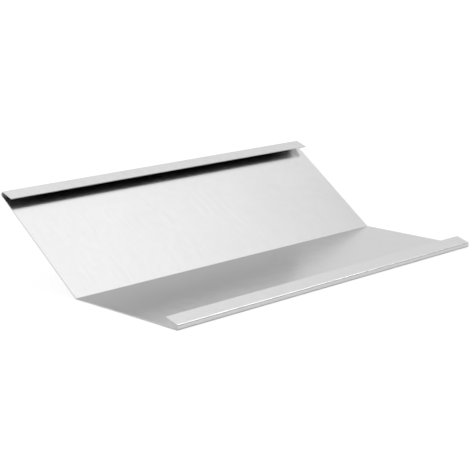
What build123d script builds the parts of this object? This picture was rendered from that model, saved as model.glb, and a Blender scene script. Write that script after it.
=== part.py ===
"""Folded sheet-metal trough.

One sheet is bent five times into a shallow, wide V with a return lip along both long edges.
Millimetres. +X runs along the fold, +Y from the front lip to the back lip, +Z up.
The front panel lies flat on the ground and the back panel climbs from the fold.
The origin is the middle of the footprint, on the ground.
"""

import os
from math import cos, radians, sin, tan

from build123d import *

# Driving dimensions
sheet_length = 400.0  # along the fold
sheet_thickness = 1.0
panel_width = 134.0  # outside, from the fold to the corner below the web
fold_angle = 36.2  # how far the back panel is turned up from the front panel
fold_inner_radius = 0.6
rim_height = 5.2  # outside height of the web, square to its panel
web_lean = 8.0  # how far the web leans in past square
rim_inner_radius = 0.7
lip_width = 15.0  # outside, from the top of the web to the cut edge
lip_opening = 16.7  # how far the lip stands off from parallel to its panel

half_sheet = sheet_thickness / 2
fold_radius = fold_inner_radius + half_sheet
rim_radius = rim_inner_radius + half_sheet


def rim_points():
    """Corners of one rim on the middle line of the sheet, from the panel to the lip's cut edge.

    Each is a distance out from the fold along the panel, and a height over the panel's middle.
    """
    web_rise = rim_height - sheet_thickness
    lip_reach = lip_width - half_sheet
    foot = (panel_width - half_sheet, 0.0)
    shoulder = (foot[0] - web_rise * tan(radians(web_lean)), web_rise)
    cut_edge = (
        shoulder[0] - lip_reach * cos(radians(lip_opening)),
        shoulder[1] + lip_reach * sin(radians(lip_opening)),
    )
    return [foot, shoulder, cut_edge]


def on_front_panel(out, up):
    """The front panel lies flat and runs out towards the front."""
    return (-out, half_sheet + up)


def on_back_panel(out, up):
    """The back panel runs out towards the back and climbs at the fold angle."""
    climb = radians(fold_angle)
    return (out * cos(climb) - up * sin(climb), half_sheet + out * sin(climb) + up * cos(climb))


front_rim = [on_front_panel(*point) for point in rim_points()]
back_rim = [on_back_panel(*point) for point in rim_points()]
fold_line = (0.0, half_sheet)

# The bent section of the sheet: a line through its middle, rounded at each bend, then given thickness
with BuildSketch() as section:
    with BuildLine():
        FilletPolyline(
            *reversed(front_rim),
            fold_line,
            *back_rim,
            radius=[rim_radius, rim_radius, fold_radius, rim_radius, rim_radius],
        )
    trace(line_width=sheet_thickness)

# The section stands across the fold, with the middle of its footprint over the origin
section_box = section.sketch.bounding_box()
footprint_middle = (section_box.min.X + section_box.max.X) / 2
section_plane = Plane(origin=(0, -footprint_middle, 0), x_dir=(0, 1, 0), z_dir=(1, 0, 0))

with BuildPart() as folded_sheet:
    with BuildSketch(section_plane):
        add(section.sketch)
    extrude(amount=sheet_length / 2, both=True)

folded_sheet.part.label = "folded_sheet"
overall = folded_sheet.part.bounding_box()
print("overall size, mm:", [round(side, 3) for side in overall.size])
print("lowest corner, mm:", [round(side, 3) for side in overall.min])
print("fold line at y, mm:", round(-footprint_middle, 3))

os.makedirs("parts", exist_ok=True)
export_step(folded_sheet.part, "parts/folded_sheet.step")
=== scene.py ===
# %% [markdown]
# # A folded sheet-metal trough
#
# The real object is one thin sheet of stainless steel. A press brake has bent it five times: once
# along the middle, so that it makes a wide, shallow V, and twice along each long edge, so that the
# edge turns up and back inwards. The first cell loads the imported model. Everything made here stands
# in its frame, in metres: +X along the fold, +Y from the front lip to the back lip, +Z up.

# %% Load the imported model
from math import cos, pi, radians, sin, tan

import bpy
import numpy as np
from mathutils import Matrix, Vector


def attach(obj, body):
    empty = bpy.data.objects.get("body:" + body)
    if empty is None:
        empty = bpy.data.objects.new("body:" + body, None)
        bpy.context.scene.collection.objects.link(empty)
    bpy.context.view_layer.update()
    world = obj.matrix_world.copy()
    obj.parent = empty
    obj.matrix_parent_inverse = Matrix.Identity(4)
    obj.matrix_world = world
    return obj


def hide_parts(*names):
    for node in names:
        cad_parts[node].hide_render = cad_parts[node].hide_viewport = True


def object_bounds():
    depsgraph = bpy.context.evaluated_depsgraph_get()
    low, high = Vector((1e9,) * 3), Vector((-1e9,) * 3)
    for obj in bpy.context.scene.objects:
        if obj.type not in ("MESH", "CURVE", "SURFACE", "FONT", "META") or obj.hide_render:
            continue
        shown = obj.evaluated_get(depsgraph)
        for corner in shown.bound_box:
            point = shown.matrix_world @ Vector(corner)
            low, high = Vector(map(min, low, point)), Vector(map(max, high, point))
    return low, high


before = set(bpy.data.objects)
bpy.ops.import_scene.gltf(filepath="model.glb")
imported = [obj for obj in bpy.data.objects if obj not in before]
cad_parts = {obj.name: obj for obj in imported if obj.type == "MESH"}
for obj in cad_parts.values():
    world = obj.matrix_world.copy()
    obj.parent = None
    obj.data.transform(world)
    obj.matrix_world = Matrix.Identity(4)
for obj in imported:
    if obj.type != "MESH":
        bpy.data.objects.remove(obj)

MM = 0.001
cad_low, cad_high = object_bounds()
print("CAD box, mm:", [round(v / MM, 2) for v in (cad_high - cad_low)])

# %% [markdown]
# ## The camera
#
# The camera stands off the left front corner and looks down a little. A long lens keeps the two
# panels nearly parallel in the picture. The aim point is a little off the middle of the object,
# and the tilt is a fraction of a degree, as a hand-set tripod gives.

# %% Camera
AIM = Vector((-0.00974, 0.00522, 0.02767))
CAMERA_DISTANCE = 1.3159
CAMERA_AZIMUTH = radians(44.64)
CAMERA_ELEVATION = radians(13.245)
CAMERA_ROLL = radians(0.33)
LENS = 103.75
FILM_WIDTH = 36.0
NEAREST, FARTHEST = 0.05, 60.0


def make_camera():
    """A camera that looks at AIM along one azimuth and elevation, then rolls about its own axis."""
    flat = cos(CAMERA_ELEVATION)
    sight = Vector((sin(CAMERA_AZIMUTH) * flat, cos(CAMERA_AZIMUTH) * flat, -sin(CAMERA_ELEVATION)))
    turn = sight.to_track_quat("-Z", "Y").to_matrix().to_4x4() @ Matrix.Rotation(-CAMERA_ROLL, 4, "Z")
    data = bpy.data.cameras.new("camera")
    data.lens = LENS
    data.sensor_width = FILM_WIDTH
    data.clip_start, data.clip_end = NEAREST, FARTHEST
    camera = bpy.data.objects.new("camera", data)
    camera.matrix_world = Matrix.Translation(AIM - sight * CAMERA_DISTANCE) @ turn
    bpy.context.scene.collection.objects.link(camera)
    bpy.context.scene.camera = camera
    return camera


camera = make_camera()
print("camera at, m:", [round(v, 3) for v in camera.matrix_world.translation])

# %% [markdown]
# ## The bent line
#
# Every bend runs the whole length, so the sheet is one section carried along a straight path. The
# section is best described as a line through the middle of the sheet: straight runs joined by arcs.
# A point on it is found from its developed distance, which is how far along the flat blank it lay
# before bending. The same distance later steers the rolled grain, so the grain follows each bend.

# %% The section's middle line
LENGTH = cad_high.x - cad_low.x
SHEET = 1.0 * MM
PANEL = 134.0 * MM
FOLD_ANGLE = radians(36.2)
FOLD_RADIUS = 0.6 * MM + SHEET / 2
RIM_HEIGHT = 5.2 * MM
RIM_RADIUS = 0.7 * MM + SHEET / 2
WEB_LEAN = radians(8.0)
LIP = 15.0 * MM
LIP_OPENING = radians(16.7)


def rim_corners():
    """Foot, shoulder and cut edge of a rim, as distance from the fold and height over the panel."""
    foot = np.array([PANEL - SHEET / 2, 0.0])
    web_rise = RIM_HEIGHT - SHEET
    shoulder = foot + [-web_rise * tan(WEB_LEAN), web_rise]
    cut = shoulder + (LIP - SHEET / 2) * np.array([-cos(LIP_OPENING), sin(LIP_OPENING)])
    return np.array([foot, shoulder, cut])


def turned(points, angle):
    """The points turned about the fold by that angle."""
    turn = np.array([[cos(angle), sin(angle)], [-sin(angle), cos(angle)]])
    return points @ turn


def bent_line(corners, radii):
    """Splits a line with rounded corners into runs.

    Each run keeps its start distance, start point, start heading and curvature. An arc of radius r
    that turns by t starts r * tan(t / 2) before its corner and is r * t long.
    """
    legs = np.diff(corners, axis=0)
    headings = np.arctan2(legs[:, 1], legs[:, 0])
    turns = np.diff(np.unwrap(headings))
    trims = np.concatenate([[0.0], radii * np.tan(np.abs(turns) / 2), [0.0]])
    runs = []
    distance = 0.0
    for i, leg in enumerate(legs):
        unit = leg / np.linalg.norm(leg)
        straight = np.linalg.norm(leg) - trims[i] - trims[i + 1]
        start = corners[i] + unit * trims[i]
        runs.append((distance, *start, headings[i], 0.0))
        distance += straight
        if i < len(turns):
            end = start + unit * straight
            runs.append((distance, *end, headings[i], np.sign(turns[i]) / radii[i]))
            distance += radii[i] * abs(turns[i])
    return np.array(runs), distance


rim = rim_corners()
front_rim = rim * [-1.0, 1.0]
corners = np.vstack([front_rim[::-1], [[0.0, 0.0]], turned(rim, FOLD_ANGLE)])
radii = np.array([RIM_RADIUS, RIM_RADIUS, FOLD_RADIUS, RIM_RADIUS, RIM_RADIUS])
RUNS, DEVELOPED = bent_line(corners, radii)
print("developed width of the blank, mm:", round(DEVELOPED / MM, 2))


# %% Points on the bent line
def on_line(distance):
    """Point and left-hand normal of the middle line at each developed distance, as (n, 2) arrays.

    Along a run of curvature k the heading is a + k * d. The point is the integral of the heading,
    which for an arc is (sin(a + k d) - sin a) / k and (cos a - cos(a + k d)) / k.
    """
    which = np.clip(np.searchsorted(RUNS[:, 0], distance, side="right") - 1, 0, len(RUNS) - 1)
    start, y, z, heading, bend = RUNS[which].T
    d = distance - start
    k = np.where(bend == 0.0, 1.0, bend)
    now = heading + bend * d
    dy = np.where(bend == 0.0, d * np.cos(heading), (np.sin(now) - np.sin(heading)) / k)
    dz = np.where(bend == 0.0, d * np.sin(heading), (np.cos(heading) - np.cos(now)) / k)
    return np.stack([y + dy, z + dz], 1), np.stack([-np.sin(now), np.cos(now)], 1)


PROBES = 4000
probe, _ = on_line(np.linspace(0.0, DEVELOPED, PROBES))
FOLD_Y = cad_low.y + SHEET / 2 - probe[:, 0].min()
FOLD_Z = SHEET / 2
print("fold at y, mm:", round(FOLD_Y / MM, 3))

# %% [markdown]
# ## The sheet
#
# The surface is a grid. Round the section it goes along the upper face, over one cut edge, back
# along the lower face and over the other cut edge. Along the length it has a station every few
# millimetres and a tight cluster at both ends, where the section shrinks by the radius of the
# deburred edge. Each panel also bows by up to two tenths of a millimetre, as sheared sheet may do.
# That is too little to see in the outline and enough to bend a reflection.

# %% Stations round the section and along the length
EDGE = 0.16 * MM
EDGE_STEPS = 4
BEND_STEP = 0.16 * MM
FLAT_STEP = 3.2 * MM
BEND_MARGIN = 0.25 * MM
LENGTH_STEP = 3.4 * MM


def spread(start, end, step):
    """Evenly spaced values from start to end, both included, about a step apart."""
    return np.linspace(start, end, max(2, int(round((end - start) / step)) + 1))


def section_distances():
    """Developed distances that follow the section: close together in the bends, wide apart between."""
    edges = np.append(RUNS[:, 0], DEVELOPED)
    parts = []
    for (start, _, _, _, bend), end in zip(RUNS, edges[1:]):
        parts.append(spread(start, end, BEND_STEP if bend else FLAT_STEP))
        if not bend:
            parts.append(np.array([start + BEND_MARGIN, end - BEND_MARGIN]))
    inner = np.concatenate(parts)
    inner = inner[(inner > EDGE * 3) & (inner < DEVELOPED - EDGE * 3)]
    near = np.array([EDGE, EDGE * 2.5])
    return np.unique(np.round(np.concatenate([near, inner, DEVELOPED - near]), 9))


def section_loop():
    """The closed loop round the sheet, as developed distance and offset from its middle."""
    along = section_distances()
    half = SHEET / 2
    angle = np.linspace(0.0, pi / 2, EDGE_STEPS + 1)[1:]
    corner_s = EDGE * (1 - np.sin(angle))
    corner_t = half - EDGE * (1 - np.cos(angle))
    upper_s = np.concatenate([corner_s[::-1], along, DEVELOPED - corner_s])
    upper_t = np.concatenate([corner_t[::-1], np.full(len(along), half), corner_t])
    return np.stack([np.append(upper_s, upper_s[::-1]), np.append(upper_t, -upper_t[::-1])], 1)


def length_stations():
    """Place along the length, and how far the section has shrunk there, as two arrays."""
    angle = np.linspace(0.0, pi / 2, EDGE_STEPS + 1)
    near = EDGE * (1 - np.cos(angle))
    shrink = EDGE * (1 - np.sin(angle))
    middle = spread(EDGE * 5, LENGTH - EDGE * 5, LENGTH_STEP)
    place = np.concatenate([near, [EDGE * 2.5], middle, [LENGTH - EDGE * 2.5], LENGTH - near[::-1]])
    shrink = np.concatenate([shrink, np.zeros(len(middle) + 2), shrink[::-1]])
    return place - LENGTH / 2, shrink


loop = section_loop()
places, shrinks = length_stations()
print("grid:", len(loop), "round the section by", len(places), "along the length")


# %% Bow of the panels
BOW = 0.22 * MM


def bow(x, distance):
    """Height of each point over a true plane, never below it.

    It is a sum of three long waves, under a window that fades to nothing at the fold and at the
    foot of each web, where the bends hold the sheet straight.
    """
    fold_at = DEVELOPED / 2
    out = np.abs(distance - fold_at) / PANEL
    window = np.clip(np.sin(np.clip(out, 0.0, 1.0) * pi), 0.0, 1.0)
    u = x / LENGTH
    side = np.where(distance < fold_at, 0.0, 1.0)
    waves = 0.5 + 0.22 * np.sin(2 * pi * (0.8 * u + 0.15 + 0.3 * side))
    waves += 0.16 * np.sin(2 * pi * (1.7 * u + 0.4 * out + 0.6 * side))
    waves += 0.08 * np.sin(2 * pi * (3.1 * u - 0.7 * out + 0.2))
    return BOW * window * waves


# %% Build the sheet
def sheet_points():
    """All points of the grid, one row of the loop for each station.

    A loop point (distance s, offset t) at a station that has shrunk by c moves to
    (s scaled about the middle by 1 - 2c / width, t scaled by 1 - 2c / thickness), and then stands
    on the bent line at s, pushed t along the normal there.
    """
    s0, t0 = loop.T
    c = shrinks[:, None]
    s = DEVELOPED / 2 + (s0 - DEVELOPED / 2) * (1 - 2 * c / DEVELOPED)
    t = t0 * (1 - 2 * c / SHEET)
    x = np.broadcast_to(places[:, None], s.shape)
    line, normal = on_line(s.ravel())
    lift = t.ravel() + bow(x.ravel(), s.ravel())
    yz = line + normal * lift[:, None] + [FOLD_Y, FOLD_Z]
    return np.column_stack([x.ravel(), yz]), x.ravel(), s.ravel()


def sheet_faces():
    """Quads between neighbouring stations, and a ladder of quads that closes each end."""
    n, m = len(loop), len(places)
    i, j = np.meshgrid(np.arange(m - 1), np.arange(n), indexing="ij")
    a, b = i * n + j, i * n + (j + 1) % n
    around = np.stack([a, a + n, b + n, b], -1).reshape(-1, 4)
    k = np.arange(n // 2 - 1)
    first = np.stack([k, k + 1, n - 2 - k, n - 1 - k], -1)
    last = first[:, ::-1] + (m - 1) * n
    return np.vstack([around, first, last])


points, station_x, station_s = sheet_points()
faces = sheet_faces()
mesh = bpy.data.meshes.new("folded_sheet_surface")
mesh.from_pydata(points, [], faces.tolist())
mesh.update()
sheet = bpy.data.objects.new("folded_sheet_surface", mesh)
bpy.context.scene.collection.objects.link(sheet)
mesh.polygons.foreach_set("use_smooth", np.ones(len(mesh.polygons), bool))
volume = sum(face.center.dot(face.normal) * face.area for face in mesh.polygons) / 3
print("sheet:", len(points), "points,", len(faces), "faces")
print("volume inside, cm3:", round(volume / MM**3 / 1000, 2))

# %% [markdown]
# ## What the materials need to know
#
# The finish belongs to the flat sheet, so it was there before the bending. A UV map that holds the
# place on the flat blank, in metres, lets the grain run straight through each bend. Four values
# are kept at every point as well: how much the metal was stretched there, how near it lies to a
# cut, how deep it lies in the thickness, and how far inside a channel it lies, which sets the painted
# shade there. A value at a point costs nothing and follows the shape.

# %% The map of the flat blank
blank = mesh.uv_layers.new(name="blank")
corner_point = np.empty(len(mesh.loops), np.int32)
mesh.loops.foreach_get("vertex_index", corner_point)
flat_place = np.stack([station_x[corner_point], station_s[corner_point]], 1)
blank.data.foreach_set("uv", flat_place.astype(np.float32).ravel())
print("blank map, mm:", [round(float(v) / MM, 1) for v in np.ptp(flat_place, axis=0)])

# %% Values kept at the points
STRETCH_REACH = 1.6 * MM
CUT_REACH = 2.2 * MM
CHANNEL_MIDDLE = LIP + RIM_HEIGHT / 2
CHANNEL_CORE = 8.0 * MM
CHANNEL_REACH = 20.0 * MM
OPEN_END = 55.0 * MM


def stretch(distance):
    """1 inside a bend, falling to 0 over STRETCH_REACH on each side, as exp(-(gap / reach)^2)."""
    arcs = RUNS[RUNS[:, 4] != 0.0, 0]
    ends = RUNS[np.flatnonzero(RUNS[:, 4]) + 1, 0]
    gap = np.maximum(arcs[:, None] - distance, distance - ends[:, None]).clip(0.0).min(0)
    return np.exp(-((gap / STRETCH_REACH) ** 2))


def near_cut(x, distance):
    """1 at the nearest cut of the blank, falling to 0 as exp(-gap / reach)."""
    gap_x = LENGTH / 2 - np.abs(x)
    gap_s = DEVELOPED / 2 - np.abs(distance - DEVELOPED / 2)
    return np.exp(-np.minimum(gap_x, gap_s).clip(0.0) / CUT_REACH)


def painted_channel_shade(x, distance, depth):
    """Mask of painted shade: 1 in the heart of a channel, 0 at its mouth, at its open ends and outside.

    It is the product of two steps of the form t^2 (3 - 2 t). Across, t falls from 1 to 0 between
    CHANNEL_CORE and CHANNEL_REACH from the middle of the web. Along, t rises from 0 at the end to 1
    at OPEN_END. Only the face of the blank that ends up inside the channel gets the painted shade, a
    darker colour in place of the dark room that the steel would reflect there.
    """
    from_cut = DEVELOPED / 2 - np.abs(distance - DEVELOPED / 2)
    gap = np.abs(from_cut - CHANNEL_MIDDLE) - CHANNEL_CORE
    across = 1 - np.clip(gap / (CHANNEL_REACH - CHANNEL_CORE), 0.0, 1.0)
    along = np.clip((LENGTH / 2 - np.abs(x)) / OPEN_END, 0.0, 1.0)
    steps = across**2 * (3 - 2 * across) * along**2 * (3 - 2 * along)
    return np.where(depth > 0.5, steps, 0.0)


depth = np.tile(loop[:, 1] / SHEET + 0.5, len(places))
values = {
    "stretch": stretch(station_s),
    "near_cut": near_cut(station_x, station_s),
    "depth": depth,
    # The channel mask for painted shade: the base colour darkens inside the channels in place of a
    # reflected dark room.
    "painted_channel_shade": painted_channel_shade(station_x, station_s, depth),
}
for name, value in values.items():
    mesh.attributes.new(name, "FLOAT", "POINT").data.foreach_set("value", value.astype(np.float32))
    print(name, "from", round(float(value.min()), 3), "to", round(float(value.max()), 3))

# %% [markdown]
# ## Helpers for node trees
#
# A material is a small graph of nodes. Five helpers keep the cells short: one adds a node and
# fills its sockets, one joins an output to an input, one adds a Math node, one adds up values with
# their weights, and one makes a soft step.


# %% Add a node, join two sockets
def add(tree, kind, settings=None, **sockets):
    """A new node. Settings are the node's own choices, sockets are values by socket name."""
    made = tree.nodes.new(kind)
    for name, value in (settings or {}).items():
        setattr(made, name, value)
    for name, value in sockets.items():
        made.inputs[name.replace("_", " ")].default_value = value
    return made


def join(tree, source, target, output=0, socket=0):
    """Links an output of one node to an input of another, each by name or number."""
    tree.links.new(source.outputs[output], target.inputs[socket])


def reckon(tree, operation, *sides):
    """A Math node. Each side is a number, or a (node, output) pair."""
    made = add(tree, "ShaderNodeMath", {"operation": operation})
    for slot, side in enumerate(sides):
        if isinstance(side, tuple):
            join(tree, side[0], made, side[1], slot)
        else:
            made.inputs[slot].default_value = side
    return made, 0


def weighted(tree, middle, sources, weights):
    """The middle value plus each named source times its weight, as a chain of Multiply Add nodes."""
    total = middle
    for name, weight in weights.items():
        total = reckon(tree, "MULTIPLY_ADD", sources[name], weight, total)
    return total


def soft_step(tree, source, low, high):
    """0 below low, 1 above high and a smooth S between them; low may be the larger one."""
    made = add(tree, "ShaderNodeMapRange", {"interpolation_type": "SMOOTHSTEP"})
    made.inputs["From Min"].default_value = low
    made.inputs["From Max"].default_value = high
    join(tree, source[0], made, source[1], "Value")
    return made, "Result"


helpers = (add, join, reckon, weighted, soft_step)
print("node helpers:", [helper.__name__ for helper in helpers])

# %% [markdown]
# ## The rolled finish
#
# Cold-rolled stainless sheet comes with a soft grey shine. The rolls leave a very fine grain along
# one direction, which here runs across the fold. Pickling leaves faint clouds a few millimetres
# wide, handling adds broad dull patches, and a few hairline marks run with the grain. One node
# group makes all four as values from 0 to 1, so that the faces and the cut edges can share it.


# %% The node group for the rolled finish
def make_rolled_finish():
    """Group: a place on the blank in metres goes in; streaks, clouds, patches and marks come out.

    Each is noise on the place divided by a size. Streaks and marks divide by two sizes, a small one
    across the grain and a long one along it, and marks keep only the highest crests of the noise.
    """
    group = bpy.data.node_groups.new("rolled_finish", "ShaderNodeTree")
    face = group.interface
    face.new_socket("Place", in_out="INPUT", socket_type="NodeSocketVector")
    for name, size in (("Grain Width", 0.0008), ("Grain Length", 0.05), ("Cloud Size", 0.008)):
        face.new_socket(name, in_out="INPUT", socket_type="NodeSocketFloat").default_value = size
    start = add(group, "NodeGroupInput")
    end = add(group, "NodeGroupOutput")
    grain = add(group, "ShaderNodeCombineXYZ", Z=1.0)
    join(group, start, grain, "Grain Width", "X")
    join(group, start, grain, "Grain Length", "Y")
    recipes = {
        "Streaks": (grain, 0, 2.0, 0.5, (0.30, 0.70)),
        "Clouds": (start, "Cloud Size", 2.0, 0.5, (0.30, 0.70)),
        "Patches": ((0.055, 0.055, 1.0), None, 1.0, 0.5, (0.30, 0.70)),
        "Marks": ((0.0014, 0.06, 1.0), None, 2.0, 0.35, (0.71, 0.77)),
    }
    for number, (name, (size, output, detail, rough, limits)) in enumerate(recipes.items()):
        face.new_socket(name, in_out="OUTPUT", socket_type="NodeSocketFloat")
        divide = add(group, "ShaderNodeVectorMath", {"operation": "DIVIDE"})
        join(group, start, divide, "Place")
        if output is None:
            divide.inputs[1].default_value = size
        else:
            join(group, size, divide, output, 1)
        shift = add(group, "ShaderNodeVectorMath", {"operation": "ADD"})
        shift.inputs[1].default_value = (17.3 * number, 5.9 * number, 0.0)
        join(group, divide, shift)
        noise = add(group, "ShaderNodeTexNoise", Scale=1.0, Detail=detail, Roughness=rough)
        join(group, shift, noise, 0, "Vector")
        level, result = soft_step(group, (noise, "Fac"), *limits)
        join(group, level, end, result, name)
    return group


rolled_finish = make_rolled_finish()
sockets = [item for item in rolled_finish.interface.items_tree if item.in_out == "OUTPUT"]
print("rolled_finish puts out:", [item.name for item in sockets])

# %% [markdown]
# ## Rubbed lines
#
# Sheets slide over each other and over the press, and a few thin lines are rubbed across the grain.
# Each is a straight line on the blank. The distance to it is worked out in the material, so that a
# line half a millimetre wide stays sharp whatever the mesh.

# %% Rubbed lines on the blank
RUBBED = (
    (34.0, 71.0, 13.3, 27.0, 0.55),
    (1.5, 84.0, 8.0, 18.0, 0.4),
    (-92.0, 66.0, 15.0, 16.0, 0.35),
    (-34.0, -58.0, -9.0, 22.0, 0.4),
    (96.0, -82.0, 11.0, 14.0, 0.35),
)


def rubbed_lines(tree, place):
    """1 on a rubbed line, 0 off it.

    A line starts at x and y, in mm from the middle of the fold, turns by an angle from the grain and
    is a half-length long each way. With p the place along it and q the place across it, the value is
    a soft step of |q| over its half-width times a soft step of |p| over its ends.
    """
    total = 0.0
    for x, y, turn, half_length, half_width in RUBBED:
        a = radians(turn)
        middle = (x * MM + sin(a) * half_length * MM, (y - cos(a) * half_length) * MM + DEVELOPED / 2, 0)
        offset = add(tree, "ShaderNodeVectorMath", {"operation": "SUBTRACT"})
        offset.inputs[1].default_value = middle
        join(tree, place, offset)
        parts = []
        for axis in ((cos(a), sin(a), 0), (sin(a), -cos(a), 0)):
            along = add(tree, "ShaderNodeVectorMath", {"operation": "DOT_PRODUCT"})
            along.inputs[1].default_value = axis
            join(tree, offset, along)
            parts.append(reckon(tree, "ABSOLUTE", (along, "Value")))
        thin = soft_step(tree, parts[0], half_width * MM, half_width * 0.3 * MM)
        ends = soft_step(tree, parts[1], half_length * MM, half_length * 0.6 * MM)
        total = reckon(tree, "MULTIPLY_ADD", thin, ends, total)
    return total


print("rubbed lines:", len(RUBBED))

# %% [markdown]
# ## Satin stainless on the faces
#
# Steel has no colour of its own in its shine: the base colour is how much light it gives back, a
# little under two thirds. Steel also loses a little shine at a flat angle, where most metals gain,
# so the tint at the rim of the Fresnel curve is under one. The group's values stir the colour by a
# few percent and the roughness by a little more. The bends are a shade rougher, because stretching
# the metal lifts its grain. The last millimetres before a cut are brighter, because the file that
# takes off the burr rubs them.
#
# The grain spreads a reflection more one way than the other, so the shader is anisotropic, and its
# tangent comes from the map of the blank. The inside of a channel has a darker colour. On real steel
# that darkness would mostly be a dark part of the room, reflected. A room dark enough for it would
# blacken the other sides too, so here the colour stands in for the reflection.


# %% Make a steel
GRAIN_RELIEF = 0.1
GRAIN_HEIGHT = 0.01 * MM


def make_steel(name, tint, lay, grain, tone, rough):
    """A steel whose colour and roughness are each a middle value plus weighted sources.

    The lay says how much more the grain spreads a reflection along the fold than across it.
    """
    material = bpy.data.materials.new(name)
    material.use_nodes = True
    tree = material.node_tree
    shader = tree.nodes["Principled BSDF"]
    shader.inputs["Metallic"].default_value = 1.0
    shader.inputs["Specular Tint"].default_value = (tint, tint, tint, 1)
    shader.inputs["Anisotropic"].default_value = lay
    tangent = add(tree, "ShaderNodeTangent", {"direction_type": "UV_MAP", "uv_map": "blank"})
    join(tree, tangent, shader, 0, "Tangent")
    place = add(tree, "ShaderNodeUVMap", {"uv_map": "blank"})
    finish = add(tree, "ShaderNodeGroup", {"node_tree": rolled_finish})
    for socket, size in grain.items():
        finish.inputs[socket].default_value = size
    join(tree, place, finish, 0, "Place")
    wanted = {**tone[1], **rough[1]}
    sources = {key: (finish, key) for key in ("Streaks", "Clouds", "Patches", "Marks")}
    for key in values:
        if key in wanted:
            sources[key] = (add(tree, "ShaderNodeAttribute", {"attribute_name": key}), "Fac")
    if "Rubbed" in wanted:
        sources["Rubbed"] = rubbed_lines(tree, place)
    for socket, (middle, weights) in (("Base Color", tone), ("Roughness", rough)):
        node, output = weighted(tree, middle, sources, weights)
        join(tree, node, shader, output, socket)
    bump = add(tree, "ShaderNodeBump", Strength=GRAIN_RELIEF, Distance=GRAIN_HEIGHT)
    join(tree, finish, bump, "Streaks", "Height")
    join(tree, bump, shader, 0, "Normal")
    return material


EDGE_TINT = 0.82
satin_tone = {
    "Streaks": 0.02,
    "Clouds": 0.014,
    "Patches": 0.01,
    "Marks": 0.03,
    "Rubbed": 0.035,
    "near_cut": 0.01,
    # Painted shade: the colour is lowered by 0.3 inside the channels, standing in for a reflected dark
    # room.
    "painted_channel_shade": -0.3,
}
satin_haze = {"Streaks": 0.01, "Clouds": 0.01, "Patches": 0.012, "Marks": -0.02, "stretch": 0.02}
satin = make_steel(
    "satin_stainless",
    tint=EDGE_TINT,
    lay=0.45,
    grain={"Grain Width": 0.0008, "Grain Length": 0.05, "Cloud Size": 0.008},
    tone=(0.581, satin_tone),
    rough=(0.216, satin_haze),
)
print("faces:", satin.name)

# %% [markdown]
# ## The cut edges
#
# A shear bites through part of the thickness and breaks off the rest. The bitten part is smooth and
# the broken part is dull and grainy, so a cut face is darker than the rolled faces and gets rougher
# through its depth. It takes the same group with short, fine grain.

# %% Material for the cut edges, and the faces that wear it
sheared_tone = {"Streaks": 0.06, "Clouds": 0.05, "Patches": 0.02, "Marks": 0.03, "depth": 0.06}
sheared_haze = {"Streaks": 0.06, "Clouds": 0.05, "depth": -0.1}
sheared = make_steel(
    "sheared_edge",
    tint=EDGE_TINT,
    lay=0.0,
    grain={"Grain Width": 0.0004, "Grain Length": 0.0004, "Cloud Size": 0.003},
    tone=(0.42, sheared_tone),
    rough=(0.36, sheared_haze),
)
mesh.materials.append(satin)
mesh.materials.append(sheared)
LEVEL_FACE = 0.02
cut_face = np.ptp(depth[faces], axis=1) > LEVEL_FACE
mesh.polygons.foreach_set("material_index", cut_face.astype(np.int32))
mesh.update()
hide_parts("folded_sheet")
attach(sheet, "root")
print("cut faces:", int(cut_face.sum()), "of", len(faces))

# %% [markdown]
# ## The floor
#
# The sheet stands on white paper that is lit until nothing of it shows. To get that without losing
# the light that the paper throws back into the steel, the camera sees mostly a flat glow, while
# every other ray sees a plain matt white.

# %% Floor
FLOOR_REACH = 8.0
FLOOR_WHITE = 0.94
GLOW = 1.05
GLOW_SHARE = 0.82
PAPER_ROUGHNESS = 0.9
sides = ((-1, -1), (1, -1), (1, 1), (-1, 1))
floor_mesh = bpy.data.meshes.new("floor")
floor_mesh.from_pydata([(x * FLOOR_REACH, y * FLOOR_REACH, 0) for x, y in sides], [], [(0, 1, 2, 3)])
floor = bpy.data.objects.new("floor", floor_mesh)
bpy.context.scene.collection.objects.link(floor)
paper = bpy.data.materials.new("white_paper")
paper.use_nodes = True
paper_tree = paper.node_tree
matt = paper_tree.nodes["Principled BSDF"]
matt.inputs["Base Color"].default_value = (FLOOR_WHITE, FLOOR_WHITE, FLOOR_WHITE, 1)
matt.inputs["Roughness"].default_value = PAPER_ROUGHNESS
matt.inputs["Specular IOR Level"].default_value = 0.0
glow = add(paper_tree, "ShaderNodeEmission", Strength=GLOW)
seen = add(paper_tree, "ShaderNodeLightPath")
share, result = reckon(paper_tree, "MULTIPLY", (seen, "Is Camera Ray"), GLOW_SHARE)
mix = add(paper_tree, "ShaderNodeMixShader")
join(paper_tree, share, mix, result, 0)
join(paper_tree, matt, mix, 0, 1)
join(paper_tree, glow, mix, 0, 2)
join(paper_tree, mix, paper_tree.nodes["Material Output"], 0, "Surface")
floor_mesh.materials.append(paper)
print("floor, m across:", FLOOR_REACH * 2)

# %% [markdown]
# ## The light
#
# A metal shows what stands round it, so the light is a room and not a lamp. The world is made from
# the direction of each ray. Its brightness rises with height, from white walls to a bright ceiling.
# The side in front of the front lip is dimmed to two fifths. One small softbox, high on the right
# and a little to the front, draws the highlight along the front bend, and the wall under it is
# dimmer. These levels were set by trial, until each face had the tone wanted for it.

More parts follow.
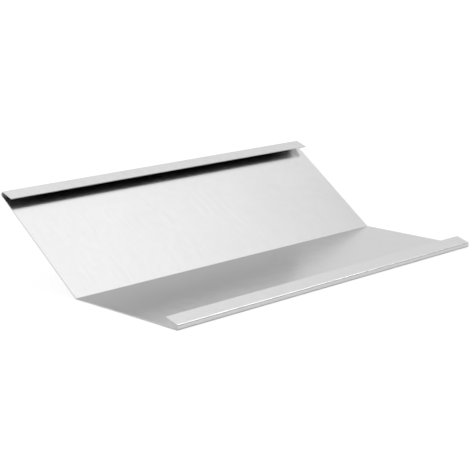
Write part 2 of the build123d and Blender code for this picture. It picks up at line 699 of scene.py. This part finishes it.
# %% World
scene = bpy.context.scene
scene.view_settings.view_transform = "Standard"
world = bpy.data.worlds.new("studio")
scene.world = world
world.use_nodes = True
room = world.node_tree
HEIGHTS = (0.0, 0.26, 0.5, 0.588, 0.656, 0.719, 0.766, 0.809, 0.87, 0.96)
LEVELS = (1.0, 1.12, 1.03, 1.18, 1.16, 1.32, 1.5, 1.64, 1.45, 1.1)
BRIGHTEST = 2.0
HORIZON = (4, 12)
DIM_SIDE, DIMMED_BY = (180, 8, 54, 63), 0.6
SOFTBOX, SOFTBOX_LIGHT = (115, 43, 3, 9), 8.0
DIM_WALL, WALL_LOSS = (92, 24, 8, 21), 1.1
direction = add(room, "ShaderNodeTexCoord")
split = add(room, "ShaderNodeSeparateXYZ")
join(room, direction, split, "Generated")
ramp = add(room, "ShaderNodeValToRGB")
join(room, split, ramp, "Z")
stops = ramp.color_ramp.elements
stops[0].position, stops[1].position = HEIGHTS[0], HEIGHTS[-1]
stops[0].color = (LEVELS[0] / BRIGHTEST,) * 3 + (1,)
stops[1].color = (LEVELS[-1] / BRIGHTEST,) * 3 + (1,)
for height, level in zip(HEIGHTS[1:-1], LEVELS[1:-1]):
    stops.new(height).color = (level / BRIGHTEST,) * 3 + (1,)


def spot(azimuth, elevation, inner, outer):
    """1 within the inner angle of a direction, 0 beyond the outer one, smooth between, in degrees.

    The azimuth runs from +Y round to +X. The cosine of the angle to a ray is the dot product of the
    two unit vectors.
    """
    a, e = radians(azimuth), radians(elevation)
    near = add(room, "ShaderNodeVectorMath", {"operation": "DOT_PRODUCT"})
    near.inputs[1].default_value = (sin(a) * cos(e), cos(a) * cos(e), sin(e))
    join(room, direction, near, "Generated")
    return soft_step(room, (near, "Value"), cos(radians(outer)), cos(radians(inner)))


above_horizon = soft_step(room, (split, "Z"), *(sin(radians(angle)) for angle in HORIZON))
dim_side = reckon(room, "MULTIPLY", spot(*DIM_SIDE), above_horizon)
strength = reckon(room, "MULTIPLY_ADD", dim_side, -DIMMED_BY * BRIGHTEST, BRIGHTEST)
strength = reckon(room, "MULTIPLY_ADD", spot(*SOFTBOX), SOFTBOX_LIGHT, strength)
strength = reckon(room, "MULTIPLY_ADD", spot(*DIM_WALL), -WALL_LOSS, strength)
background = room.nodes["Background"]
join(room, ramp, background, "Color", "Color")
join(room, strength[0], background, strength[1], "Strength")
print("light levels from", LEVELS[0], "at the floor to", LEVELS[-1], "overhead")
